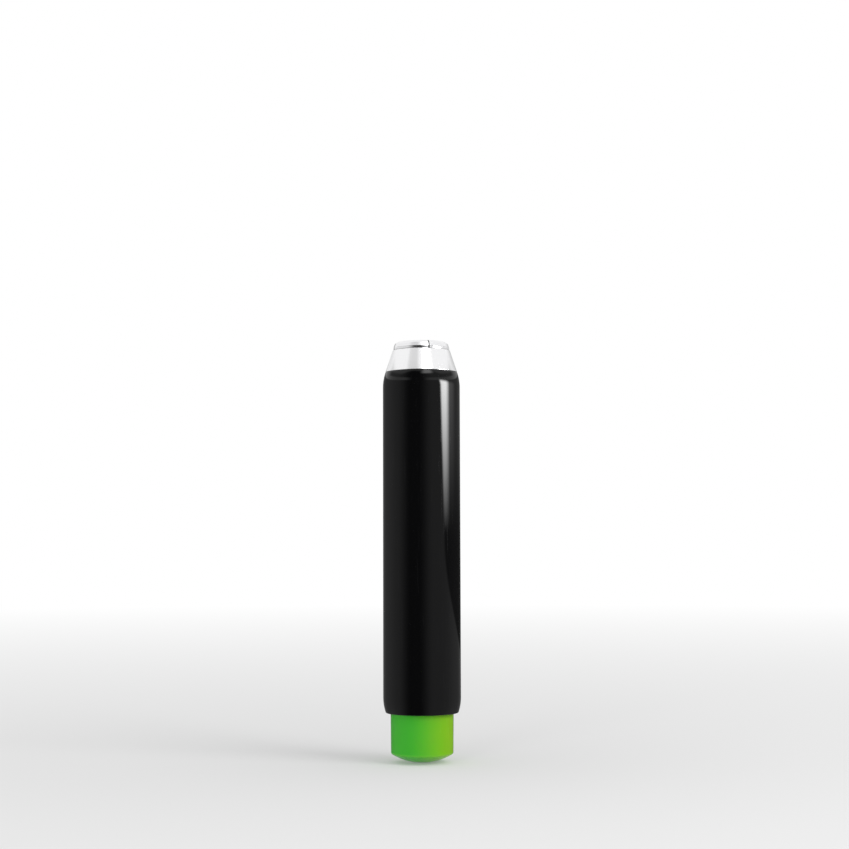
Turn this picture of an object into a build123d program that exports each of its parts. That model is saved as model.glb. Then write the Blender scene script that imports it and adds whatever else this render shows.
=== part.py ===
from build123d import *
from math import asin, cos, pi, radians, degrees, sin, sqrt
import os

os.makedirs("parts", exist_ok=True)

# Crayons held, and the way through the holder, mm
thickest_crayon = 12.0
thinnest_crayon = 11.0
crayon_clearance = 0.25
tube_wall = 0.7

# Push button
button_wall = 1.55
button_reach = 10.87
button_draft = 0.1
dome_height = 2.38
dome_edge_radius = 0.7
button_floor = 2.4
stop_thickness = 1.5
button_clearance = 0.15
button_front = 2.0

# Barrel
barrel_length = 92.1
barrel_wall = 1.5
rim_wall = 0.8
shoulder_height = 4.2
rim_edge_radius = 0.35
lip_depth = 0.35
lip_thickness = 2.2

# Nose cone
nose_height = 5.95
nose_lip = 0.8
nose_edge_radius = 0.15
mouth_land = 1.2
mouth_clearance = 0.1
spigot_length = 7.55
spigot_wall = 1.05
spigot_clearance = 0.05

# Collet
grip_squeeze = 0.1
grip_length = 4.4
grip_teeth = 4
tooth_depth = 0.22
jaw_wall = 1.55
jaw_reach = 2.3
head_step = 0.2
head_gap = 0.12
head_band = 0.6
head_taper = 0.35
crown_depth = 0.95
crown_height = 0.5
crown_edge_radius = 0.5
finger_length = 30.0
finger_wall = 0.6
slot_width = 0.5
slot_turn = 16.0
corner_clearance = 0.12
root_gap = 0.08
collar_neck = 2.0
flange_thickness = 1.8
flange_clearance = 0.25
socket_length = 6.5
socket_wall = 0.85

# Press and return spring
press_travel = 8.0
spring_wire = 0.9
spring_turns = 10.5
spring_clearance = 0.25
spring_seat_gap = 0.05
end_turn_closing = 0.2

# Radii, built up from the crayon outwards
tube_bore = thickest_crayon / 2 + crayon_clearance
tube_outer = tube_bore + tube_wall
button_radius = tube_outer + button_wall
lip_radius = button_radius + button_clearance
bore_radius = lip_radius + lip_depth
barrel_radius = bore_radius + barrel_wall
rim_radius = bore_radius + rim_wall
grip_radius = thinnest_crayon / 2 - grip_squeeze
jaw_radius = grip_radius + jaw_wall
mouth_radius = jaw_radius + mouth_clearance
nose_tip_radius = mouth_radius + nose_lip
head_radius = nose_tip_radius - head_step
spigot_outer = bore_radius - spigot_clearance
spigot_bore = spigot_outer - spigot_wall
spring_radius = bore_radius - spring_clearance - spring_wire / 2

# Heights along the axis, from the middle of the barrel
front_rim = barrel_length / 2
rear_rim = -barrel_length / 2
mouth = front_rim + nose_height
jaw_tip = mouth + jaw_reach
root = mouth - finger_length
spigot_end = front_rim - spigot_length
collar_front = root - root_gap
flange_front = collar_front - collar_neck
flange_back = flange_front - flange_thickness
socket_end = flange_back - socket_length
lip_front = rear_rim + lip_thickness
dome_edge = rear_rim - button_reach
dome_tip = dome_edge - dome_height
crayon_stop = dome_tip + button_floor
tube_end = dome_edge + button_wall

# How far a jaw swings, so that its corners let the thickest crayon past
jaw_half_angle = pi / 4 - asin(slot_width / 2 / grip_radius)
grip_middle = jaw_tip - grip_length / 2
corner_reach = sqrt((thickest_crayon / 2 + corner_clearance) ** 2
                    - (grip_radius * sin(jaw_half_angle)) ** 2)
jaw_swing = (corner_reach - grip_radius * cos(jaw_half_angle)) / (grip_middle - root)


def turned(*edges):
    """Solid turned about the axis from a closed outline of (radius, height)."""
    outline = edges[0]
    for edge in edges[1:]:
        outline = outline + edge
    return revolve(Plane.XZ * make_face(outline), Axis.Z)


def ring(inner, outer, bottom, top):
    """Plain ring between two radii and two heights."""
    return turned(Polyline((inner, bottom), (outer, bottom), (outer, top), (inner, top), close=True))


def circles_at(solid, radius, height):
    """Circular edges of a turned solid at one radius and height."""
    return [edge for edge in solid.edges().filter_by(GeomType.CIRCLE)
            if abs(edge.radius - radius) < 1e-4 and abs(edge.center().Z - height) < 1e-4]


def shoulder(end, side):
    """Arc from the barrel's side to its rim, tangent to the side."""
    drop = barrel_radius - rim_radius
    sweep_radius = (shoulder_height ** 2 + drop ** 2) / (2 * drop)
    half = shoulder_height / 2
    middle = barrel_radius - sweep_radius + sqrt(sweep_radius ** 2 - half ** 2)
    start = end - side * shoulder_height
    return ThreePointArc((barrel_radius, start), (middle, start + side * half), (rim_radius, end))


def make_barrel():
    """Tube with a rounded shoulder at each end and an inner lip at the rear."""
    straight = Line((barrel_radius, rear_rim + shoulder_height),
                    (barrel_radius, front_rim - shoulder_height))
    inside = Polyline((rim_radius, front_rim), (bore_radius, front_rim), (bore_radius, lip_front),
                      (lip_radius, lip_front), (lip_radius, rear_rim), (rim_radius, rear_rim))
    body = turned(shoulder(rear_rim, -1), straight, shoulder(front_rim, 1), inside)
    rims = circles_at(body, rim_radius, front_rim) + circles_at(body, rim_radius, rear_rim)
    return fillet(rims, rim_edge_radius)


def make_nose_cone():
    """Cone on the front rim, with a spigot in the bore and a short land at the mouth."""
    land = mouth - mouth_land
    flare = land - (spigot_bore - mouth_radius)
    cone = turned(Polyline(
        (mouth_radius, mouth), (nose_tip_radius, mouth), (rim_radius, front_rim),
        (spigot_outer, front_rim), (spigot_outer, spigot_end), (spigot_bore, spigot_end),
        (spigot_bore, flare), (mouth_radius, land), close=True))
    lip = circles_at(cone, nose_tip_radius, mouth) + circles_at(cone, mouth_radius, mouth)
    return fillet(lip, nose_edge_radius)


def jaw_back(press):
    """Radius of a closed jaw's back at the place that meets the mouth after a press."""
    return jaw_radius - jaw_swing * press / press_travel * (finger_length - press)


def make_jaws():
    """Four jaws, each a quarter of one turned collet: rounded head, curved back and long finger."""
    half, full = press_travel / 2, press_travel
    neck = mouth - full
    neck_inner = jaw_back(full) - finger_wall
    grip_end = jaw_tip - grip_length
    head_back = mouth + head_gap
    band_end = head_back + head_band
    crown_edge = head_radius - head_taper
    crown_face = crown_edge - crown_depth
    crown_start = jaw_tip - crown_height
    pitch = (grip_length - tooth_depth) / grip_teeth
    teeth = [(grip_radius + tooth_depth, grip_end)]
    for tooth in range(grip_teeth):
        start = grip_end + tooth * pitch
        teeth += [(grip_radius, start + tooth_depth), (grip_radius, start + pitch - tooth_depth),
                  (grip_radius + tooth_depth, start + pitch)]
    back = ThreePointArc((jaw_radius, mouth), (jaw_back(half), mouth - half), (jaw_back(full), neck))
    rest = Polyline(
        (jaw_back(full), neck), (tube_outer, root), (tube_bore, root), (neck_inner, neck),
        *teeth, (grip_radius + tooth_depth, jaw_tip), (crown_face, jaw_tip), (crown_edge, crown_start),
        (head_radius, band_end), (head_radius, head_back), (jaw_radius, head_back), (jaw_radius, mouth))
    collet = turned(back, rest)
    edges = circles_at(collet, head_radius, band_end) + circles_at(collet, crown_edge, crown_start)
    collet = fillet(edges + circles_at(collet, crown_face, jaw_tip), crown_edge_radius)
    slot = Box(slot_width, 4 * tube_outer, 4 * finger_length)
    for turn in (0, 90):
        collet -= Pos(0, 0, mouth) * Rot(0, 0, slot_turn + turn) * slot
    names = {0: "jaw_front_right", 1: "jaw_rear_right", 2: "jaw_rear_left", 3: "jaw_front_left"}
    jaws = {}
    for solid in collet.solids():
        middle = solid.center()
        bearing = degrees(asin(middle.Y / sqrt(middle.X ** 2 + middle.Y ** 2)))
        angle = bearing if middle.X > 0 else 180 - bearing
        jaws[names[int((angle - slot_turn + 90) % 360 // 90)]] = solid
    return jaws


def make_collar():
    """Ring at the roots of the jaws, with the spring's flange and a socket for the tube."""
    flange_radius = bore_radius - flange_clearance
    socket_outer = tube_outer + socket_wall
    return turned(Polyline(
        (tube_bore, collar_front), (tube_outer, collar_front), (tube_outer, flange_front),
        (flange_radius, flange_front), (flange_radius, flange_back), (socket_outer, flange_back),
        (socket_outer, socket_end), (tube_outer, socket_end), (tube_outer, flange_back),
        (tube_bore, flange_back), close=True))


def make_button():
    """Hollow domed button with a stop flange inside the barrel's rear lip."""
    edge_radius = button_radius - button_draft
    dome_radius = (edge_radius ** 2 + dome_height ** 2) / (2 * dome_height)
    half = edge_radius / 2
    crown = dome_tip + dome_radius - sqrt(dome_radius ** 2 - half ** 2)
    stop_radius = bore_radius - flange_clearance
    stop_back = lip_front + root_gap
    stop_front = stop_back + stop_thickness
    front = stop_front + button_front
    dome = ThreePointArc((0, dome_tip), (half, crown), (edge_radius, dome_edge))
    rest = Polyline(
        (edge_radius, dome_edge), (button_radius, rear_rim), (button_radius, stop_back),
        (stop_radius, stop_back), (stop_radius, stop_front), (button_radius, stop_front),
        (button_radius, front), (tube_outer, front), (tube_outer, tube_end), (tube_bore, tube_end),
        (tube_bore, crayon_stop), (0, crayon_stop), (0, dome_tip))
    button = turned(dome, rest)
    return fillet(circles_at(button, edge_radius, dome_edge), dome_edge_radius)


def make_spring():
    """Wire wound in half turns, each of two tangent arcs, closer together near both ends."""
    low = flange_front + spring_seat_gap + spring_wire / 2
    rise = spigot_end - spring_seat_gap - spring_wire / 2 - low

    def height(turn):
        share = turn / spring_turns
        return low + rise * (share - end_turn_closing * sin(2 * pi * share) / (2 * pi))

    def point(turn):
        angle = 2 * pi * turn
        return Vector(spring_radius * cos(angle), spring_radius * sin(angle), height(turn))

    def heading(turn):
        angle = 2 * pi * turn
        climb = (height(turn + 0.001) - height(turn - 0.001)) / (0.004 * pi)
        return Vector(-spring_radius * sin(angle), spring_radius * cos(angle), climb).normalized()

    edges = []
    for step in range(round(2 * spring_turns)):
        first, last = step / 2, step / 2 + 0.5
        start, end, leave, arrive = point(first), point(last), heading(first), heading(last)
        gap, both = end - start, leave + arrive
        a, b, c = both.dot(both) - 4, -2 * gap.dot(both), gap.dot(gap)
        reach = (-b - sqrt(b * b - 4 * a * c)) / (2 * a)
        knee, heel = start + leave * reach, end - arrive * reach
        middle = (knee + heel) * 0.5
        edges += [Edge.make_tangent_arc(start, leave, middle),
                  Edge.make_tangent_arc(middle, heel - knee, end)]
    nearest = min((point(turn / 50) - point(turn / 50 + 1 + lead / 50)).length
                  for turn in range(round(50 * (spring_turns - 1)) - 3) for lead in (-2, -1, 0, 1, 2)
                  if turn / 50 + 1 + lead / 50 <= spring_turns)
    print(f"spring: least gap between turns {nearest - spring_wire:.3f} mm")
    wire = Wire(edges)
    section = Plane(point(0), z_dir=heading(0)) * Circle(spring_wire / 2)
    return sweep(section, path=wire)


pieces = {
    "barrel": make_barrel(),
    "nose_cone": make_nose_cone(),
    "return_spring": make_spring(),
    "collet_collar": make_collar(),
    "crayon_tube": ring(tube_bore, tube_outer, tube_end, flange_back),
    "push_button": make_button(),
    **make_jaws(),
}
for name, piece in pieces.items():
    export_step(piece, f"parts/{name}.step")

print(f"jaw swing {degrees(jaw_swing):.4f} deg over a press of {press_travel} mm")
print(f"jaw root at height {root:.3f}, mid wall radius {(tube_bore + tube_outer) / 2:.3f}")
print(f"spring seats at {flange_front:.3f} and {spigot_end:.3f}, tip {jaw_tip:.3f}, dome {dome_tip:.3f}")
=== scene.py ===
import math

import bpy
import numpy as np
from mathutils import Matrix


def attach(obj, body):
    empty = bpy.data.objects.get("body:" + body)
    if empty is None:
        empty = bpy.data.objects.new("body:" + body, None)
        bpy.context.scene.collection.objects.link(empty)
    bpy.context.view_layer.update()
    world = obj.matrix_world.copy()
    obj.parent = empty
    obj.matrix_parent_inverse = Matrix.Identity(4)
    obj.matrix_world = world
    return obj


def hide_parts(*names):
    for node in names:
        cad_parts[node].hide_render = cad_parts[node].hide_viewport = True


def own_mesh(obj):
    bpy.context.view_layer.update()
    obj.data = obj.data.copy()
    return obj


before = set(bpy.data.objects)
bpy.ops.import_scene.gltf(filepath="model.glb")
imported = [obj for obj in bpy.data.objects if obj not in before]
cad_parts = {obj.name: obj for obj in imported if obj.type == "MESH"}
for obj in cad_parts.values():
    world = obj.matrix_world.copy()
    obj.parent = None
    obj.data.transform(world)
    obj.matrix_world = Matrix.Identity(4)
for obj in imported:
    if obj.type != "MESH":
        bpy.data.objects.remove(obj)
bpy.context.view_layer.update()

# Lengths and angles under this count as none
TINY = 1e-6

# Sizes of the holder in millimetres and degrees, heights counted from the middle of the barrel

# Barrel
FRONT_RIM, REAR_RIM = 46.05, -46.05
BARREL_R, RIM_R, BORE_R = 10.5, 9.8, 9.0
SHOULDER = 4.2
LIP_R, LIP_FRONT = 8.65, -43.85
# Nose cone
MOUTH, LAND_BACK, SPIGOT_END = 52.0, 50.8, 38.5
NOSE_R, MOUTH_R, SPIGOT_R, SPIGOT_BORE = 7.85, 7.05, 8.95, 7.9
# Jaws
ROOT, HEAD_BACK, BAND_END, CROWN, TIP = 22.0, 52.06, 52.72, 53.8, 54.3
JAW_R, HEAD_R, CROWN_R, FACE_R, PLATED_R = 6.95, 7.65, 7.3, 6.35, 6.05
GRIP_R, GRIP_LENGTH, TEETH, TOOTH = 5.4, 4.4, 4, 0.22
FINGER_WALL, SLOT, SLOT_TURN = 0.6, 0.36, 16.0
TRAVEL, SWING = 8.0, math.radians(1.7715)
BEARINGS = {"front_right": -45, "rear_right": 45, "rear_left": 135, "front_left": 225}
# Push button and crayon tube
BUTTON_R, BUTTON_EDGE_R, STOP_R = 8.5, 8.4, 8.75
DOME_TIP, DOME_EDGE, BUTTON_FLOOR, TUBE_SEAT = -59.3, -56.92, -56.9, -55.37
STOP_BACK, STOP_FRONT, SKIRT_END = -43.77, -42.27, -40.27
TUBE_R, TUBE_BORE = 6.95, 6.25
# Return spring
SPRING_R, WIRE_R, TURNS, CLOSING = 8.3, 0.45, 10.5, 0.2
SPRING_LOW, SPRING_RISE, SPRING_REST = 20.42, 17.58, 18.58
# Edge roundings, and how far a guard point lies from one
RIM_SOFT, LIP_SOFT, MOUTH_SOFT, HEAD_SOFT, DOME_SOFT, SKIRT_SOFT = 0.35, 0.12, 0.15, 0.5, 0.7, 0.2
BROKEN, SEAM, CRISP, KEEN, FACE_EDGE = 0.1, 0.06, 0.05, 0.03, 0.01
GUARD = 0.06

# Colours of the mouldings and metals, dark and light or plain and worn
BLACKS = (0.0016, 0.0016, 0.0018), (0.010, 0.010, 0.0105)
# The button's lime is painted light on its lit side, and its pale edge green is painted light
# through its edges
GREEN, PAINTED_LIT_LIME, PAINTED_EDGE_GLOW_GREEN = (0.054, 0.408, 0.031), (0.236, 0.472, 0.004), (0.30, 0.52, 0.10)
# The lighter shade of each plate also gives the painted highlight on its rounded edges
NOSE_BRIGHTS = (0.86, 0.86, 0.87), (0.93, 0.93, 0.935)
COLLET_BRIGHTS = (0.80, 0.80, 0.81), (0.90, 0.90, 0.91)
# Dark greys of the saw-cut walls, also painted shade in the slots and inside the jaws
SAWN_AND_SHADE_GREYS = (0.15, 0.15, 0.155), (0.26, 0.26, 0.26)
STEEL_GREYS = (0.38, 0.38, 0.39), (0.55, 0.55, 0.56)
ALLOY_GREYS = (0.62, 0.63, 0.64), (0.76, 0.77, 0.78)
# Share of the dark saw-cut look on the inner faces of the jaws: painted shade inside the collet
INNER_SHADE_SHARE = 0.7
# Painted light on the button in metres: lime across its lit front, bent by the ripple, and one
# share at the back
PAINTED_LIGHT_ACROSS, PAINTED_LIGHT_BEND = (-0.0035, 0.0120), 0.0012
PAINTED_LIGHT_BACK, PAINTED_LIGHT_SHARE = (-0.003, 0.008), 0.25
# Marks: depth of the moulded skin in metres and its share of peel, share of radius in the rings,
# spans of the noise that show as smudges and hairlines, and how these lean and are drawn out
MOULD_DEPTH, PEEL_SHARE, RING_SHARE = 6e-6, 0.12, 0.61
SMUDGE_SPAN, HAIR_SPAN = (0.42, 0.68), (0.69, 0.75)
HAIR_WAYS, HAIR_SKEW, HAIR_TURN = ((0.05, 0.012), (-0.35, 0.03)), 0.7, 0.3

# The set in metres: floor and screen as circles of (radius, height), and the white room
SECTORS = 64
GROUND = DOME_TIP * 0.001
FLOOR_RINGS = [(r, GROUND) for r in (6.0, 2.0, 1.0, 0.5, 0.25, 0.12, 0.06, 0.03)]
FLOOR_GREY, FLOOR_GLOW, FLOOR_RATE, FLOOR_REACH = (0.60, 0.60, 0.60, 1), 0.2, 1.707, 0.848
SCREEN_R, SCREEN_FOOT = 0.06, GROUND + 0.0003
SCREEN_RINGS = [(r, SCREEN_FOOT) for r in (0.013, 0.03, 0.045, SCREEN_R)]
SCREEN_RINGS += [(SCREEN_R, h) for h in (-0.03, 0.0, 0.04, 0.08, 0.16)]
WHITE, ROOM_LIGHT = (1, 1, 1, 1), 0.66
# Soft lamps: place in metres, tilt and turn in degrees, width in metres, power in watts
LAMPS = {"key_lamp": ((0.5, -0.35, 0.35), (62, 55), 0.45, 2.2),
         "front_lamp": ((-0.59, -1.38, 0.2), (81.5, -23), 0.5, 6.25)}
# Camera: place in metres, tip and roll in degrees, lens and sensor in millimetres
CAMERA_PLACE, CAMERA_TIP, CAMERA_ROLL = (0.00084, -0.4616, -0.00095), 4.06, -0.155
LENS, SENSOR, CLIP = 71.9, 36.0, (0.01, 20.0)

# Light of the screen: directions in radians from the front to the right, heights in metres. A pair
# gives where a change starts and ends, or the levels before and after it.
DARK_AT, DARK_SPAN, DARK_LEVELS = -0.32, (0.20, 0.9), (0.045, 0.42)
REAR_SPAN, REAR_LEVELS = (1.5, 2.3), (1.0, 0.45)
WEDGE_TOP, WEDGE_BEND, WEDGE_DEPTH = 0.0015, 1170.0, 0.75
WEDGE_SIDE, WEDGE_END, WEDGE_FADE = (1.06, 1.22), (2.45, 3.0), (-0.003, 0.041)
BAND_AT, BAND_SPAN, BAND_LEVELS = -0.2, (0.20, 0.7), (0.05, 0.92)
BAND_FOOT, BAND_TOP = (0.0562, 0.0578), (0.062, 0.065)
TALL_FOOT, TALL_SIDE = (0.0562, 0.0605), (1.75, 2.1)
DULL_SIDE, DULL_ACROSS, DULL_LEVELS = (1.8, 3.0), (-0.03, 0.03), (0.14, 0.40)
MAIN_RISE, MAIN_CURVE, MAIN_POWER = (0.003, 0.0475), 1.3, 27.0
MAIN_LEAN, MAIN_LEFT = 4.0, (1.085, 1.225)
MAIN_RIGHT, SPILL_SPAN, SPILL_LEVELS = (1.20, 1.55), (1.45, 2.0), (0.05, 0.0)
MAIN_SLOPE, MAIN_TOP = 0.0065, (0.0595, 0.0665)
HIGH_AT, HIGH_SPAN, HIGH_FOOT, HIGH_POWER = 0.32, (0.10, 0.42), (0.074, 0.080), 4.2
BACK_SIDE, BACK_FOOT, BACK_TOP, BACK_POWER = (2.93, 3.05), (0.0, 0.046), (0.048, 0.056), 4.0
OPEN_SPAN, OPEN_LEVELS, OPEN_EDGE = (0.35, 1.2), (0.0, 0.014), (0.082, 0.091)
COVER_AT, COVER_SPAN, COVER_LEVELS = -0.52, (0.2, 0.42), (0.76, 1.0)


def rounded(corners, steps=7):
    """Outline of (radius, height) with soft corners, and a mask that is 1 on them.

    Each corner (radius, height, fillet) is cut back on both sides by the fillet over the tangent of
    half the corner's angle, and the two cuts are joined by the arc that touches both sides. A guard
    point just outside each end of the arc keeps the long sides flat in the shading.
    """
    p = np.array([c[:2] for c in corners], float)
    fillet = np.array([c[2] if len(c) > 2 else 0.0 for c in corners])[:, None]
    a, b = np.roll(p, 1, 0) - p, np.roll(p, -1, 0) - p
    a_long, b_long = (np.linalg.norm(v, axis=1, keepdims=True) for v in (a, b))
    a, b = a / a_long, b / b_long
    half = np.arccos(np.clip((a * b).sum(1, keepdims=True), -1, 1)) / 2
    cut = fillet / np.tan(half)
    middle = a + b
    middle /= np.maximum(np.linalg.norm(middle, axis=1, keepdims=True), TINY)
    centre = p + middle * fillet / np.sin(half)
    first, last = p + a * cut - centre, p + b * cut - centre
    turn = np.maximum(math.pi - 2 * half, TINY)[:, None]
    t = np.linspace(0, 1, steps)[None, :, None]
    arc = np.sin((1 - t) * turn) * first[:, None] + np.sin(t * turn) * last[:, None]
    arc = centre[:, None] + arc / np.sin(turn)
    guard = np.where(fillet > 0, GUARD, 0.0)
    before = p + a * (cut + np.minimum(guard, a_long / 4))
    after = p + b * (cut + np.minimum(guard, b_long / 4))
    points = np.concatenate([before[:, None], arc, after[:, None]], 1)
    mask = np.zeros(points.shape[:2])
    mask[:, 1:-1] = fillet > 0
    points, mask = points.reshape(-1, 2), mask.reshape(-1)
    keep = np.linalg.norm(points - np.roll(points, 1, 0), axis=1) > TINY
    return points[keep], mask[keep]


def circle(columns):
    """Angles spaced evenly round a full turn."""
    return np.linspace(0, 2 * math.pi, columns, endpoint=False)


def swept(radius, angle, height):
    """Grid of points from radius, angle round the upright axis, and height."""
    return np.stack(np.broadcast_arrays(radius * np.cos(angle), radius * np.sin(angle), height), -1)


def quads(rows, columns, close_rows=True, close_columns=True):
    """Four-sided faces of a grid of points, joined end to start along rows and columns if asked."""
    i = np.arange(rows if close_rows else rows - 1)[:, None]
    j = np.arange(columns if close_columns else columns - 1)[None, :]
    up, right = (i + 1) % rows, (j + 1) % columns
    corners = i * columns + j, i * columns + right, up * columns + right, up * columns + j
    return np.stack(np.broadcast_arrays(*corners), -1).reshape(-1, 4)


def piece(name, points, faces, node, body, material, edge=None, sharp=None, sawn_and_shaded=None):
    """Mesh object from points in millimetres, put in place of a node and set on that node's body.

    edge and sawn_and_shaded are masks for the material; the second is dark saw-cut metal and
    painted shade. An edge of the mesh is sharp where both its ends have the same number in sharp,
    other than 0.
    """
    mesh = bpy.data.meshes.new(name)
    mesh.from_pydata((points * 0.001).tolist(), [], faces)
    mesh.polygons.foreach_set("use_smooth", np.ones(len(mesh.polygons), bool))
    for mask, domain, values in (("edge", "POINT", edge), ("sawn_and_shaded", "FACE", sawn_and_shaded)):
        if values is not None:
            layer = mesh.attributes.new(mask, "FLOAT", domain)
            layer.data.foreach_set("value", values.astype(np.float32))
    if sharp is not None:
        ends = np.zeros(2 * len(mesh.edges), np.int32)
        mesh.edges.foreach_get("vertices", ends)
        ends = sharp[ends.reshape(-1, 2)]
        hard = (ends[:, 0] > 0) & (ends[:, 0] == ends[:, 1])
        mesh.attributes.new("sharp_edge", "BOOLEAN", "EDGE").data.foreach_set("value", hard)
    mesh.update()
    mesh.materials.append(material)
    obj = bpy.data.objects.new(name, mesh)
    bpy.context.scene.collection.objects.link(obj)
    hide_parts(node)
    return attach(obj, body)


def turned(outline, columns=192):
    """Surface turned about the upright axis: radius and height along the outline, angle around it.

    An outline that starts and ends on the axis is closed there by a fan of triangles at each end.
    """
    line, edge = outline
    poles = line[0, 0] < TINY
    ring = line[1:-1] if poles else line
    points = swept(ring[:, :1], circle(columns)[None, :], ring[:, 1:]).reshape(-1, 3)
    rows = len(ring)
    faces = quads(rows, columns, close_rows=not poles).tolist()
    mask = np.repeat(edge[1:-1] if poles else edge, columns)
    if poles:
        j = np.arange(columns)
        after, top = (j + 1) % columns, (rows - 1) * columns
        low, high = np.full(columns, len(points)), np.full(columns, len(points) + 1)
        faces += np.stack([low, after, j], -1).tolist()
        faces += np.stack([high, top + j, top + after], -1).tolist()
        points = np.concatenate([points, [[0, 0, line[0, 1]], [0, 0, line[-1, 1]]]])
        mask = np.concatenate([mask, [0, 0]])
    return points, faces, mask


def arc_radius(reach, drop):
    """Radius of an arc that starts level and has dropped so much at the end of its reach.

    It is the reach squared plus the drop squared, over twice the drop.
    """
    return (reach ** 2 + drop ** 2) / (2 * drop)


def shoulder(end, side, steps=12):
    """Points on the arc that leaves the barrel's side smoothly and drops to its rim.

    The drop is the arc's radius less the root of that radius squared less the way along squared.
    """
    sweep = arc_radius(SHOULDER, BARREL_R - RIM_R)
    along = np.linspace(0, SHOULDER, steps + 1)
    radius = BARREL_R - sweep + np.sqrt(sweep ** 2 - along ** 2)
    return np.stack([radius, end - side * (SHOULDER - along)], -1)


def barrel_outline():
    """Barrel: rear rim, shoulder, side, shoulder, front rim, then bore and lip on the way back."""
    rear, front = shoulder(REAR_RIM, -1)[::-1], shoulder(FRONT_RIM, 1)
    return rounded([
        (*rear[0], RIM_SOFT), *map(tuple, rear[1:]),
        *map(tuple, front[:-1]), (*front[-1], RIM_SOFT),
        (BORE_R, FRONT_RIM, CRISP), (BORE_R, LIP_FRONT), (LIP_R, LIP_FRONT, CRISP),
        (LIP_R, REAR_RIM, LIP_SOFT)])


def nose_outline():
    """Nose cone: base, straight cone, rounded lip, short land, flare at 45 degrees, and spigot."""
    return rounded([
        (RIM_R, FRONT_RIM, SEAM), (NOSE_R, MOUTH, MOUTH_SOFT), (MOUTH_R, MOUTH, MOUTH_SOFT),
        (MOUTH_R, LAND_BACK, CRISP), (SPIGOT_BORE, LAND_BACK - (SPIGOT_BORE - MOUTH_R), BROKEN),
        (SPIGOT_BORE, SPIGOT_END, BROKEN), (SPIGOT_R, SPIGOT_END, BROKEN), (SPIGOT_R, FRONT_RIM)])


def button_outline(steps=21):
    """Push button: dome from the axis, soft edge, drafted side, stop flange, then socket and floor.

    The dome is the cap of a sphere: its drop from the tip is the sphere's radius less the root of
    that radius squared less the distance from the axis squared.
    """
    sphere = arc_radius(BUTTON_EDGE_R, DOME_EDGE - DOME_TIP)
    r = np.linspace(0, BUTTON_EDGE_R, steps + 1)[:-1]
    dome = np.stack([r, DOME_TIP + sphere - np.sqrt(sphere ** 2 - r ** 2)], -1)
    return rounded([
        *map(tuple, dome), (BUTTON_EDGE_R, DOME_EDGE, DOME_SOFT), (BUTTON_R, REAR_RIM),
        (BUTTON_R, STOP_BACK), (STOP_R, STOP_BACK, CRISP), (STOP_R, STOP_FRONT, CRISP),
        (BUTTON_R, STOP_FRONT), (BUTTON_R, SKIRT_END, SKIRT_SOFT), (TUBE_R, SKIRT_END, BROKEN),
        (TUBE_R, TUBE_SEAT), (TUBE_BORE, TUBE_SEAT, CRISP), (TUBE_BORE, BUTTON_FLOOR),
        (0, BUTTON_FLOOR)])


def jaw_outline(steps=16):
    """One jaw in section: finger, curved back that rides in the mouth, rounded head, toothed grip.

    The back's radius at a height that the mouth meets after a press s is the jaw's radius less the
    swing at that press times the distance from there to the finger's root.
    """
    s = np.linspace(TRAVEL, 0, steps + 1)
    back = np.stack([JAW_R - SWING * s / TRAVEL * (MOUTH - ROOT - s), MOUTH - s], -1)
    end, pitch, tooth_r = TIP - GRIP_LENGTH, (GRIP_LENGTH - TOOTH) / TEETH, GRIP_R + TOOTH
    start = TIP - TOOTH - pitch * np.arange(TEETH)
    lands = [(tooth_r, start), (GRIP_R, start - TOOTH), (GRIP_R, start - pitch + TOOTH)]
    teeth = np.stack([np.stack(np.broadcast_arrays(r, z), -1) for r, z in lands], 1).reshape(-1, 2)
    return rounded([
        (TUBE_R, ROOT, KEEN), *map(tuple, back), (JAW_R, HEAD_BACK), (HEAD_R, HEAD_BACK, SEAM),
        (HEAD_R, BAND_END, HEAD_SOFT), (CROWN_R, CROWN, HEAD_SOFT), (FACE_R, TIP, HEAD_SOFT),
        (tooth_r, TIP, FACE_EDGE), *[(r, z, KEEN) for r, z in teeth], (tooth_r, end, KEEN),
        (back[0, 0] - FINGER_WALL, MOUTH - TRAVEL), (TUBE_BORE, ROOT, KEEN)])


def jaw(bearing, columns=57):
    """Quarter of the turned collet: the outline swung through the angle left between two slots.

    The half angle at each radius is an eighth of a turn less the angle that half a slot takes up
    there, so both end walls are flat and side by side with the next jaw's. The walls are saw-cut,
    dull and painted dark, and the inner faces take most of that dark, as painted shade inside the
    collet.
    """
    line, edge = jaw_outline()
    radius, height = line[:, :1], line[:, 1:]
    half = math.pi / 4 - np.arcsin(SLOT / 2 / radius)
    angle = math.radians(bearing) + np.linspace(-1, 1, columns)[None, :] * half
    rows = len(line)
    walls = np.arange(rows) * columns
    faces = quads(rows, columns, close_columns=False).tolist()
    faces += [walls.tolist(), (walls + columns - 1)[::-1].tolist()]
    side = np.zeros((rows, columns), int)
    side[:, 0], side[:, -1] = 1, 2
    # Painted shade: the inner faces take most of the dark saw-cut look, and the end walls all of it
    inner = (np.arange(rows) > np.argmax(height[:, 0])) | (radius[:, 0] < PLATED_R)
    sawn_and_shaded = np.concatenate([np.repeat(inner * INNER_SHADE_SHARE, columns - 1), [1, 1]])
    points = swept(radius, angle, height).reshape(-1, 3)
    return points, faces, np.repeat(edge, columns), side.reshape(-1), sawn_and_shaded


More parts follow.
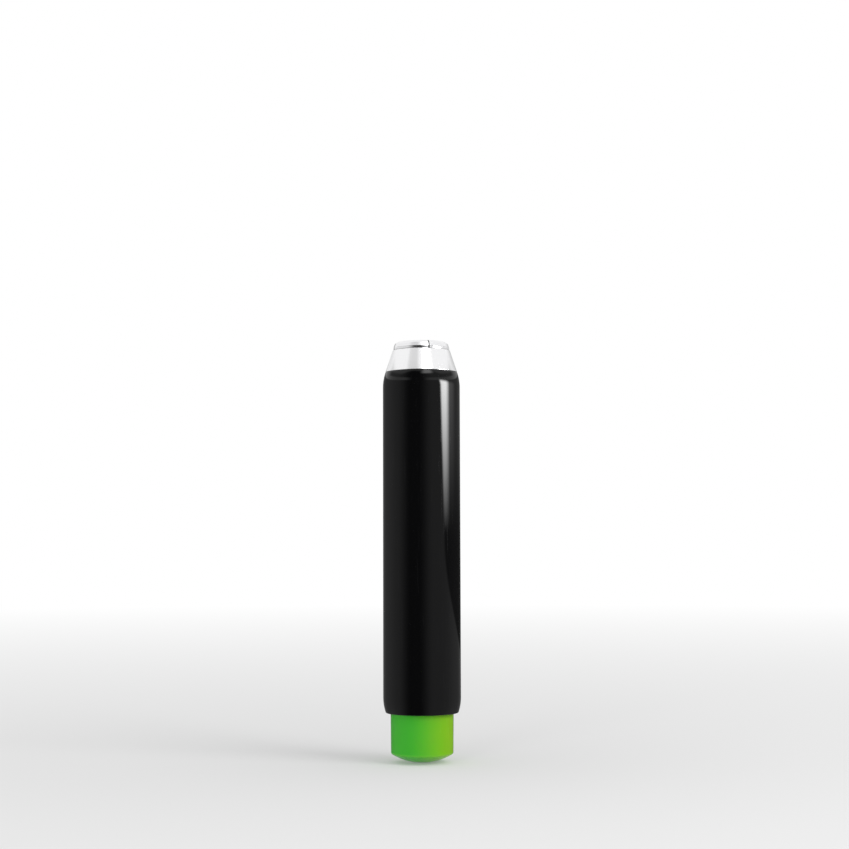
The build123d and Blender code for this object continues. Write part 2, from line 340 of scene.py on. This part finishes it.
def coil(steps=64, columns=20):
    """Return spring: a round section carried along a helix whose turns close up near both ends.

    The height is the share of the turns made, less a sine of that share, times the rise. The
    section lies across the helix, between the outward direction and the one square to both.
    """
    turn = np.linspace(0, TURNS, round(TURNS * steps) + 1)[:, None]
    share, angle = turn / TURNS, 2 * math.pi * turn
    out = np.concatenate([np.cos(angle), np.sin(angle), 0 * angle], 1)
    closed = CLOSING * np.sin(2 * math.pi * share) / (2 * math.pi)
    height = SPRING_LOW + SPRING_RISE * (share - closed)
    centre = out * SPRING_R + np.concatenate([0 * height, 0 * height, height], 1)
    along = np.gradient(centre, axis=0)
    along /= np.linalg.norm(along, axis=1, keepdims=True)
    up = np.cross(along, out)
    v = circle(columns)[None, :, None]
    ring = np.cos(v) * out[:, None] + np.sin(v) * up[:, None]
    points = (centre[:, None] + WIRE_R * ring).reshape(-1, 3)
    rows = len(centre)
    faces = quads(rows, columns, close_rows=False).tolist()
    section = np.arange(columns)
    faces += [section[::-1].tolist(), (section + (rows - 1) * columns).tolist()]
    ends = np.zeros((rows, columns), int)
    ends[0], ends[-1] = 1, 2
    return points, faces, ends.reshape(-1)


def put(tree, kind, feeds=(), **settings):
    """Adds a node, and feeds its inputs with values or with the outputs of other nodes."""
    node = tree.nodes.new(kind)
    for key, value in settings.items():
        setattr(node, key, value)
    for key, value in dict(feeds).items():
        if isinstance(value, bpy.types.NodeSocket):
            tree.links.new(value, node.inputs[key])
        else:
            node.inputs[key].default_value = value
    return node


def sums(tree, operation, *values, clamp=False):
    """Output of a Math node on one to three values."""
    node = put(tree, "ShaderNodeMath", enumerate(values), operation=operation, use_clamp=clamp)
    return node.outputs[0]


def times(tree, first, *others):
    """Product of values, or the place where masks overlap."""
    for value in others:
        first = sums(tree, "MULTIPLY", first, value)
    return first


def raised(tree, base, *marks, clamp=False):
    """Base value raised by an amount under each mask, the two given as a pair."""
    for mask, amount in marks:
        base = sums(tree, "MULTIPLY_ADD", mask, amount, base, clamp=clamp)
    return base


def dimmed(tree, mask, share=1.0):
    """What is left of 1 where a mask takes a share of it away."""
    return raised(tree, 1.0, (mask, -share))


def ramp(tree, value, span, low=0.0, high=1.0):
    """Smooth change from a low to a high level over a span of the value, held at both ends."""
    feeds = {0: value, 1: span[0], 2: span[1], 3: low, 4: high}
    return put(tree, "ShaderNodeMapRange", feeds, interpolation_type="SMOOTHSTEP").outputs[0]


def fall(tree, value, span):
    """Smooth change from 1 to 0 over a span of the value."""
    return ramp(tree, value, span, 1.0, 0.0)


def between(tree, share, first, second):
    """Value between two values, by a share that changes over the surface."""
    return put(tree, "ShaderNodeMix", {0: share, 2: first, 3: second}, data_type="FLOAT").outputs[0]


def shades(tree, share, dark, light):
    """Colour between two shades, plain ones or those of other nodes, by a share that changes."""
    dark, light = (c if isinstance(c, bpy.types.NodeSocket) else (*c, 1) for c in (dark, light))
    return put(tree, "ShaderNodeMix", {0: share, 6: dark, 7: light}, data_type="RGBA").outputs[2]


def place_on(tree):
    """Place on the piece, in the coordinates of its own object."""
    return put(tree, "ShaderNodeTexCoord").outputs["Object"]


def sides_of(tree, place):
    """The three numbers of a place: across, deep and height."""
    return put(tree, "ShaderNodeSeparateXYZ", {0: place}).outputs


def radius_of(tree, across, deep):
    """Distance from the upright axis."""
    return sums(tree, "SQRT", raised(tree, times(tree, across, across), (deep, deep)))


def grain(tree, place, size, **feeds):
    """Noise with lumps of about one size."""
    feeds.update(Vector=place, Scale=sums(tree, "DIVIDE", 1.0, size))
    return put(tree, "ShaderNodeTexNoise", feeds).outputs["Fac"]


def relief(tree, height, depth):
    """Normal from a height of 0 to 1 that stands for a depth in metres."""
    feeds = {"Height": height, "Strength": 1.0, "Distance": depth}
    return put(tree, "ShaderNodeBump", feeds).outputs[0]


def mask_of(tree, name):
    """One of the piece's own masks, such as that of its rounded edges or of its dark saw-cut walls
    and painted shade.
    """
    return put(tree, "ShaderNodeAttribute", attribute_name=name).outputs["Fac"]


def group(name, inputs, outputs):
    """Empty node group with named number inputs and outputs, and its two end nodes."""
    tree = bpy.data.node_groups.new(name, "ShaderNodeTree")
    for label, value in inputs.items():
        socket = tree.interface.new_socket(label, in_out="INPUT", socket_type="NodeSocketFloat")
        socket.default_value = value
    for label in outputs:
        tree.interface.new_socket(label, in_out="OUTPUT", socket_type="NodeSocketFloat")
    return tree, tree.nodes.new("NodeGroupInput").outputs, tree.nodes.new("NodeGroupOutput").inputs


def use(tree, made, **values):
    """Places a node group in a material with its own values."""
    node = put(tree, "ShaderNodeGroup", node_tree=made)
    for key, value in values.items():
        node.inputs[key.replace("_", " ")].default_value = value
    return node.outputs


def handling_group():
    """Marks of use: soft smudges, and hairline scratches that run mostly along the holder.

    The scratches are fine noise drawn out along the height, in two ways that lean differently.
    """
    tree, given, made = group("handling", {"Smudge size": 0.012, "Scratch size": 0.0004},
                              ["Smudges", "Scratches"])
    place = place_on(tree)
    smudge = grain(tree, place, given["Smudge size"], Detail=5.0, Roughness=0.62, Distortion=0.4)
    tree.links.new(ramp(tree, smudge, SMUDGE_SPAN), made["Smudges"])
    lines = []
    for lean, drawn in HAIR_WAYS:
        leant = put(tree, "ShaderNodeMapping", {
            "Vector": place, "Rotation": (lean, lean * HAIR_SKEW, HAIR_TURN),
            "Scale": (1.0, 1.0, drawn)})
        hair = grain(tree, leant.outputs[0], given["Scratch size"], Detail=1.0, Roughness=0.5)
        lines.append(ramp(tree, hair, HAIR_SPAN))
    tree.links.new(sums(tree, "MAXIMUM", *lines), made["Scratches"])
    return tree


def rings_group():
    """Turning marks: fine rings round the axis, from noise along height and part of the radius."""
    tree, given, made = group("turning_rings", {"Pitch": 0.0001}, ["Rings"])
    across, deep, height = sides_of(tree, place_on(tree))
    along = raised(tree, height, (radius_of(tree, across, deep), RING_SHARE))
    feeds = {"W": sums(tree, "DIVIDE", along, given["Pitch"]),
             "Scale": 1.0, "Detail": 3.0, "Roughness": 0.6}
    noise = put(tree, "ShaderNodeTexNoise", feeds, noise_dimensions="1D").outputs["Fac"]
    tree.links.new(noise, made["Rings"])
    return tree


def moulded_group():
    """Moulded skin: a long shallow ripple and a fine peel, as one height."""
    sizes = {"Ripple size": 0.009, "Peel size": 0.0007}
    tree, given, made = group("moulded_skin", sizes, ["Height"])
    place = place_on(tree)
    ripple, peel = (grain(tree, place, given[size], Detail=2.0) for size in sizes)
    tree.links.new(raised(tree, ripple, (peel, PEEL_SHARE)), made["Height"])
    return tree


HANDLING, RINGS, MOULDED = handling_group(), rings_group(), moulded_group()


def finish(name, **sockets):
    """Material with one main shader, whose plain values are set on its own sockets."""
    material = bpy.data.materials.new(name)
    material.use_nodes = True
    tree = material.node_tree
    shader = tree.nodes["Principled BSDF"]
    for key, value in sockets.items():
        shader.inputs[key.replace("_", " ")].default_value = value
    return material, tree, shader.inputs


def wire(tree, sockets, **sources):
    """Links what changes over the surface to sockets of the main shader."""
    for key, source in sources.items():
        tree.links.new(source, sockets[key.replace("_", " ")])


def black_gloss():
    """Barrel: deep black moulding, polished, with faint smudges and hairlines, and duller rims."""
    material, tree, sockets = finish("black_gloss", IOR=1.5, Specular_IOR_Level=0.3)
    marks = use(tree, HANDLING, Smudge_size=0.014, Scratch_size=0.00035)
    skin = use(tree, MOULDED, Ripple_size=0.011, Peel_size=0.0009)
    worn = times(tree, mask_of(tree, "edge"), marks["Smudges"])
    tint = raised(tree, times(tree, worn, 0.5), (marks["Scratches"], 0.25), clamp=True)
    rough = raised(tree, 0.055, (marks["Smudges"], 0.035), (marks["Scratches"], 0.12), (worn, 0.10))
    wire(tree, sockets, Base_Color=shades(tree, tint, *BLACKS), Roughness=rough,
         Normal=relief(tree, skin["Height"], MOULD_DEPTH))
    return material


def bright_plate(name, brights, rough, pitch, depth):
    """Plated metal: turning rings under the polish, smudges, edges brightened by painted highlight,
    and dark saw-cut walls with painted shade.
    """
    material, tree, sockets = finish(name, Metallic=1.0)
    marks = use(tree, HANDLING, Smudge_size=0.006, Scratch_size=0.0003)
    rings = use(tree, RINGS, Pitch=pitch)["Rings"]
    # Painted shade, with the dark of the saw-cut metal: the cut walls and inner faces take the dark
    # greys
    sawn_and_shaded = mask_of(tree, "sawn_and_shaded")
    # Painted highlight: the rounded edges are pushed a share towards the lighter shade
    plating_and_edge_highlight = shades(tree, raised(tree, rings, (mask_of(tree, "edge"), 0.3), clamp=True), *brights)
    rough = raised(tree, rough, (rings, 0.06), (marks["Smudges"], 0.05), (sawn_and_shaded, 0.3),
                   (marks["Scratches"], 0.08))
    wire(tree, sockets, Base_Color=shades(tree, sawn_and_shaded, plating_and_edge_highlight, shades(tree, rings, *SAWN_AND_SHADE_GREYS)),
         Roughness=rough, Normal=relief(tree, rings, depth))
    return material


def green_gloss():
    """Push button: green moulding that lets in a little light, and painted light: lime on its lit
    front right.

    The painted light share rises from left to right over the front, bent a little by the moulded
    ripple, and settles to one share all over the back. The rounded edges are painted paler, as
    light through them.
    """
    material, tree, sockets = finish(
        "green_gloss", IOR=1.49, Specular_IOR_Level=0.15, Subsurface_Weight=0.5,
        Subsurface_Radius=(0.35, 1.0, 0.12), Subsurface_Scale=0.002)
    marks = use(tree, HANDLING, Smudge_size=0.007, Scratch_size=0.0004)
    skin = use(tree, MOULDED, Ripple_size=0.006, Peel_size=0.0005)["Height"]
    across, deep, _ = sides_of(tree, place_on(tree))
    # Painted light: lime where the key lamp lights the front right, settling to one share at the
    # back
    painted_light = ramp(tree, raised(tree, across, (skin, PAINTED_LIGHT_BEND)), PAINTED_LIGHT_ACROSS)
    share = between(tree, ramp(tree, deep, PAINTED_LIGHT_BACK), painted_light, PAINTED_LIGHT_SHARE)
    # Painted light: the rounded edges are painted paler, as light that comes through the thin
    # plastic there
    edge_glow = times(tree, mask_of(tree, "edge"), 0.12)
    rough = raised(tree, 0.14, (marks["Smudges"], 0.06), (marks["Scratches"], 0.15))
    colour = shades(tree, edge_glow, shades(tree, share, GREEN, PAINTED_LIT_LIME), PAINTED_EDGE_GLOW_GREEN)
    wire(tree, sockets, Base_Color=colour, Roughness=rough,
         Normal=relief(tree, skin, MOULD_DEPTH))
    return material


def drawn_metal(name, greys, rough):
    """Plain drawn metal of the tube and the spring: dull, with rings or streaks from drawing."""
    material, tree, sockets = finish(name, Metallic=1.0)
    marks = use(tree, HANDLING, Smudge_size=0.004, Scratch_size=0.0002)
    rings = use(tree, RINGS, Pitch=0.0002)["Rings"]
    wire(tree, sockets, Base_Color=shades(tree, rings, *greys),
         Roughness=raised(tree, rough, (marks["Scratches"], 0.15), (rings, 0.1)))
    return material


def dress():
    """Puts every finished piece in place of its solid, and gives the inner solids their metals."""
    plate = bright_plate("nose_plate", NOSE_BRIGHTS, rough=0.09, pitch=0.00012, depth=1.0e-6)
    collet = bright_plate("collet_plate", COLLET_BRIGHTS, rough=0.12, pitch=0.00016, depth=1.5e-6)
    steel = drawn_metal("spring_wire", STEEL_GREYS, rough=0.3)
    alloy = drawn_metal("tube_alloy", ALLOY_GREYS, rough=0.28)
    for name, outline, node, body, slot, material in (
            ("barrel_body", barrel_outline(), "barrel", "housing", "barrel_black", black_gloss()),
            ("nose_body", nose_outline(), "nose_cone", "housing", "nose_metal", plate),
            ("button_body", button_outline(), "push_button", "carriage", "button_green",
             green_gloss())):
        points, faces, edge = turned(outline)
        piece(name, points, faces, node, body, material, edge)
    for name, bearing in BEARINGS.items():
        points, faces, edge, side, sawn_and_shaded = jaw(bearing + SLOT_TURN)
        piece(f"{name}_jaw_body", points, faces, f"jaw_{name}", f"{name}_jaw",
              collet, edge, side, sawn_and_shaded)
    points, faces, ends = coil()
    spring = piece("spring_body", points, faces, "return_spring", "housing", steel,
                   sharp=ends)
    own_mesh(spring)
    for node, material in (("collet_collar", collet), ("crayon_tube", alloy)):
        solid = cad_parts[node]
        solid.data.materials.clear()
        solid.data.materials.append(material)


def stage_mesh(name, rings, material, filled=False):
    """Part of the set, not of the object: circles of (radius, height), each joined to the next.

    The last circle is filled in if asked.
    """
    rings = np.array(rings)
    points = swept(rings[:, :1], circle(SECTORS)[None, :], rings[:, 1:]).reshape(-1, 3)
    faces = quads(len(rings), SECTORS, close_rows=False).tolist()
    if filled:
        faces.append(list(range(len(points) - SECTORS, len(points))))
    mesh = bpy.data.meshes.new(name)
    mesh.from_pydata(points.tolist(), [], faces)
    mesh.materials.append(material)
    obj = bpy.data.objects.new(name, mesh)
    bpy.context.scene.collection.objects.link(obj)
    return obj


def bare_material(name):
    """Material with no nodes yet, and its tree."""
    material = bpy.data.materials.new(name)
    material.use_nodes = True
    material.node_tree.nodes.clear()
    return material, material.node_tree


def glow_of(tree, strength):
    """White light given off by a surface."""
    return put(tree, "ShaderNodeEmission", {"Color": WHITE, "Strength": strength}).outputs[0]


def surface_of(tree, kind, share, first, second):
    """Ends a material or the room with a mix of two shaders."""
    mix = put(tree, "ShaderNodeMixShader", {0: share, 1: first, 2: second}).outputs[0]
    put(tree, kind, {"Surface": mix})


def seen_directly(tree):
    """1 for what the camera sees, straight or in polish, and 0 for what only lights the object."""
    rays = put(tree, "ShaderNodeLightPath").outputs
    mirror = sums(tree, "MAXIMUM", rays["Is Glossy Ray"], rays["Is Transmission Ray"])
    return sums(tree, "MAXIMUM", rays["Is Camera Ray"], mirror)


def floor_paint():
    """Pale floor, lit a little from below like a light table: matt near the holder, white far off.

    The white share is the distance times a rate, over the distance plus a reach.
    """
    material, tree = bare_material("floor_paint")
    across, deep, _ = sides_of(tree, place_on(tree))
    far = radius_of(tree, across, deep)
    fade = sums(tree, "DIVIDE", times(tree, far, FLOOR_RATE), sums(tree, "ADD", far, FLOOR_REACH),
                clamp=True)
    matt = put(tree, "ShaderNodeBsdfDiffuse", {"Color": FLOOR_GREY}).outputs[0]
    near = put(tree, "ShaderNodeAddShader", {0: matt, 1: glow_of(tree, FLOOR_GLOW)}).outputs[0]
    share = times(tree, fade, seen_directly(tree))
    surface_of(tree, "ShaderNodeOutputMaterial", share, near, glow_of(tree, 1.0))
    return material


def off(tree, angle, centre=0.0):
    """How far an angle is from one direction, or from the front."""
    return sums(tree, "ABSOLUTE", sums(tree, "SUBTRACT", angle, centre))


def dim_light(tree, angle, height):
    """Dim light low on the screen: darkest just left of the front, with a dark wedge on the right.

    The wedge lies under the main lamp and fades out upwards and towards the back. Its side curves
    to the right as it goes down, by the square of the drop.
    """
    base = times(tree, ramp(tree, off(tree, angle, DARK_AT), DARK_SPAN, *DARK_LEVELS),
                 ramp(tree, off(tree, angle), REAR_SPAN, *REAR_LEVELS))
    drop = sums(tree, "MINIMUM", sums(tree, "SUBTRACT", height, WEDGE_TOP), 0.0)
    past = raised(tree, angle, (times(tree, drop, drop), -WEDGE_BEND))
    wedge = times(tree, ramp(tree, past, WEDGE_SIDE), fall(tree, angle, WEDGE_END),
                  fall(tree, height, WEDGE_FADE))
    return times(tree, base, dimmed(tree, wedge, WEDGE_DEPTH))


def band_light(tree, across, angle):
    """Light of the band level with the nose: dark a little left of the front, and duller behind."""
    dull = times(tree, ramp(tree, off(tree, angle), DULL_SIDE),
                 ramp(tree, across, DULL_ACROSS, *DULL_LEVELS))
    light = ramp(tree, off(tree, angle, BAND_AT), BAND_SPAN, *BAND_LEVELS)
    return times(tree, light, dimmed(tree, dull))


def band_place(tree, angle, height):
    """Where the band lies: thin round the front, and without an upper edge behind."""
    thin = times(tree, ramp(tree, height, BAND_FOOT), fall(tree, height, BAND_TOP))
    tall = times(tree, ramp(tree, height, TALL_FOOT), ramp(tree, off(tree, angle), TALL_SIDE))
    return sums(tree, "MAXIMUM", thin, tall)


def main_lamp(tree, angle, height):
    """Main lamp on the right: a tall strip that fades downwards, by a power of the height.

    Its left side leans, its top slopes down to the right, and a little light spills to its right.
    """
    rise = put(tree, "ShaderNodeMapRange", {0: height, 1: MAIN_RISE[0], 2: MAIN_RISE[1]}).outputs[0]
    light = times(tree, sums(tree, "POWER", rise, MAIN_CURVE), MAIN_POWER)
    left = ramp(tree, raised(tree, angle, (height, MAIN_LEAN)), MAIN_LEFT)
    right = sums(tree, "MAXIMUM", fall(tree, angle, MAIN_RIGHT),
                 ramp(tree, angle, SPILL_SPAN, *SPILL_LEVELS))
    top = fall(tree, raised(tree, height, (angle, MAIN_SLOPE)), MAIN_TOP)
    return times(tree, light, left, right, top)


def high_lamp(tree, angle, height):
    """Mask of the softer lamp that stands higher and nearer the front."""
    return times(tree, fall(tree, off(tree, angle, HIGH_AT), HIGH_SPAN),
                 ramp(tree, height, HIGH_FOOT))


def back_lamp(tree, angle, height):
    """Mask of the soft lamp straight behind the holder, which fades downwards."""
    return times(tree, ramp(tree, off(tree, angle), BACK_SIDE), ramp(tree, height, BACK_FOOT),
                 fall(tree, height, BACK_TOP))


def open_top(tree, angle, height, lamp_mask):
    """Where the screen gives way to the white room: above an edge that drops away from the front.

    A part left of the front stays partly covered, and the high lamp stays in place.
    """
    edge = sums(tree, "ADD", height, ramp(tree, off(tree, angle), OPEN_SPAN, *OPEN_LEVELS))
    cover = ramp(tree, off(tree, angle, COVER_AT), COVER_SPAN, *COVER_LEVELS)
    return times(tree, ramp(tree, edge, OPEN_EDGE), cover, dimmed(tree, lamp_mask))


def screen_glow():
    """Studio screen round the holder, as polish shows it: dim, with a bright band and three lamps.

    The angle round the holder is measured from the front, to the right.
    """
    material, tree = bare_material("screen_glow")
    across, deep, height = sides_of(tree, place_on(tree))
    angle = sums(tree, "ARCTAN2", across, times(tree, deep, -1.0))
    level = between(tree, band_place(tree, angle, height), dim_light(tree, angle, height),
                    band_light(tree, across, angle))
    high = high_lamp(tree, angle, height)
    strength = raised(tree, sums(tree, "ADD", level, main_lamp(tree, angle, height)),
                      (high, HIGH_POWER), (back_lamp(tree, angle, height), BACK_POWER))
    clear = put(tree, "ShaderNodeBsdfTransparent").outputs[0]
    surface_of(tree, "ShaderNodeOutputMaterial", open_top(tree, angle, height, high),
               glow_of(tree, strength), clear)
    return material


def lamp(name, place, turn, size, power):
    """Soft lamp that lights the object but shows in no reflection."""
    light = bpy.data.lights.new(name, "AREA")
    light.shape, light.size, light.energy = "DISK", size, power
    stand = bpy.data.objects.new(name, light)
    tilt, swing = (math.radians(v) for v in turn)
    aim = Matrix.Rotation(swing, 4, "Z") @ Matrix.Rotation(tilt, 4, "X")
    stand.matrix_world = Matrix.Translation(place) @ aim
    stand.visible_camera = stand.visible_glossy = False
    bpy.context.scene.collection.objects.link(stand)


def light_the_set():
    """Floor disc, screen ring that only polish shows, two soft lamps, and the white room."""
    stage_mesh("floor", FLOOR_RINGS, floor_paint(), filled=True)
    screen = stage_mesh("screen", SCREEN_RINGS, screen_glow())
    screen.visible_camera = screen.visible_diffuse = screen.visible_shadow = False
    for name, settings in LAMPS.items():
        lamp(name, *settings)

    world = bpy.data.worlds.new("studio")
    bpy.context.scene.world = world
    world.use_nodes = True
    tree = world.node_tree
    tree.nodes.clear()
    room, white = (put(tree, "ShaderNodeBackground", {"Color": WHITE, "Strength": light}).outputs[0]
                   for light in (ROOM_LIGHT, 1.0))
    surface_of(tree, "ShaderNodeOutputWorld", seen_directly(tree), room, white)


def set_camera():
    """Camera level with the holder's middle, tipped up a little, as the photograph was framed."""
    lens = bpy.data.cameras.new("camera")
    lens.sensor_width, lens.lens = SENSOR, LENS
    lens.clip_start, lens.clip_end = CLIP
    camera = bpy.data.objects.new("camera", lens)
    tip = Matrix.Rotation(math.radians(90 + CAMERA_TIP), 4, "X")
    roll = Matrix.Rotation(math.radians(CAMERA_ROLL), 4, "Z")
    camera.matrix_world = Matrix.Translation(CAMERA_PLACE) @ tip @ roll
    bpy.context.scene.collection.objects.link(camera)
    bpy.context.scene.camera = camera


dress()
light_the_set()
set_camera()
bpy.context.scene.view_settings.view_transform = "Standard"
